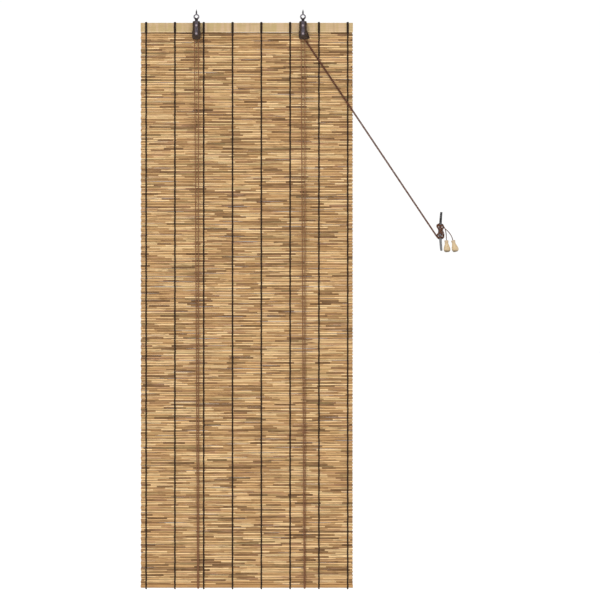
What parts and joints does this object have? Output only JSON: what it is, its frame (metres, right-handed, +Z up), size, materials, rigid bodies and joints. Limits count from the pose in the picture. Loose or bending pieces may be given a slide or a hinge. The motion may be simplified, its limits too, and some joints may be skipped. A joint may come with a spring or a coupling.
{
  "type": "reed roll up blind",
  "caption": "Hanging roll-up window blind of woven reed stems, raised by cords over pulley blocks and belayed on a wall cleat with tassels.",
  "frame": {"origin": "midway between the two hanging screws, where their shanks come out of the ceiling or lintel", "axes": "+X to the right seen from the room, -Y towards the room, +Z up"},
  "size_m": [0.898, 0.055, 1.6386],
  "materials": {
    "reed_stems": "dry reed stems, satin, each a little different in tone",
    "bamboo_slat": "flat bamboo slat, pale khaki with tone bands",
    "bottom_stick": "orange-brown stick",
    "black_yarn": "black-brown yarn",
    "brown_cord": "rust-brown laid cord",
    "pale_wood": "cream lacquered wood",
    "blackened_steel": "pressed steel, dark brown-grey",
    "zinc_wire": "dull zinc-plated wire",
    "wheel_metal": "plain turned metal",
    "cast_grey_metal": "cast metal, worn grey",
    "bright_steel": "plain steel, slightly tarnished"
  },
  "bodies": {
    "blind": {"axle_rivet_left": "bright_steel", "axle_rivet_right": "bright_steel", "bottom_rod": "bottom_stick", "clamp_rivet_left": "bright_steel", "clamp_rivet_right": "bright_steel", "cleat": "cast_grey_metal", "cleat_screws": "bright_steel", "cord_eyelet": "bright_steel", "cord_tail_left": "brown_cord", "cord_tail_right": "brown_cord", "cord_tie_left": "brown_cord", "cord_tie_right": "brown_cord", "cord_winding": "brown_cord", "front_cheek_left": "blackened_steel", "front_cheek_right": "blackened_steel", "guide_pin": "blackened_steel", "hanger_strap_left": "blackened_steel", "hanger_strap_right": "blackened_steel", "lift_cord_left": "brown_cord", "lift_cord_right": "brown_cord", "pull_cord_left": "brown_cord", "pull_cord_right": "brown_cord", "rear_cheek_left": "blackened_steel", "rear_cheek_right": "blackened_steel", "rear_eye_left": "zinc_wire", "rear_eye_right": "zinc_wire", "reeds_01": "reed_stems", "reeds_02": "reed_stems", "reeds_03": "reed_stems", "reeds_04": "reed_stems", "reeds_05": "reed_stems", "reeds_06": "reed_stems", "reeds_07": "reed_stems", "reeds_08": "reed_stems", "reeds_09": "reed_stems", "reeds_10": "reed_stems", "rivet_washer_left": "bright_steel", "rivet_washer_right": "bright_steel", "screw_eye_left": "zinc_wire", "screw_eye_right": "zinc_wire", "standoff_collar_left": "bright_steel", "standoff_collar_right": "bright_steel", "strap_spacer_left": "bright_steel", "strap_spacer_right": "bright_steel", "tassel_knot_left": "brown_cord", "tassel_knot_right": "brown_cord", "tassel_left": "pale_wood", "tassel_right": "pale_wood", "top_batten": "bamboo_slat", "warp_cord_1": "black_yarn", "warp_cord_2": "black_yarn", "warp_cord_3": "black_yarn", "warp_cord_4": "black_yarn", "warp_cord_5": "black_yarn", "warp_cord_6": "black_yarn", "warp_cord_7": "black_yarn", "warp_cord_8": "black_yarn"},
    "left_wheel": {"pulley_wheel_left": "wheel_metal"},
    "right_wheel": {"pulley_wheel_right": "wheel_metal"}
  },
  "joints": [
    {"name": "left_wheel_spin", "type": "hinge", "parent": "blind", "child": "left_wheel", "pos_m": [-0.1504, 0, -0.0563], "axis": [0, 1, 0], "continuous": true},
    {"name": "right_wheel_spin", "type": "hinge", "parent": "blind", "child": "right_wheel", "pos_m": [0.1504, 0, -0.0563], "axis": [0, 1, 0], "continuous": true}
  ]
}
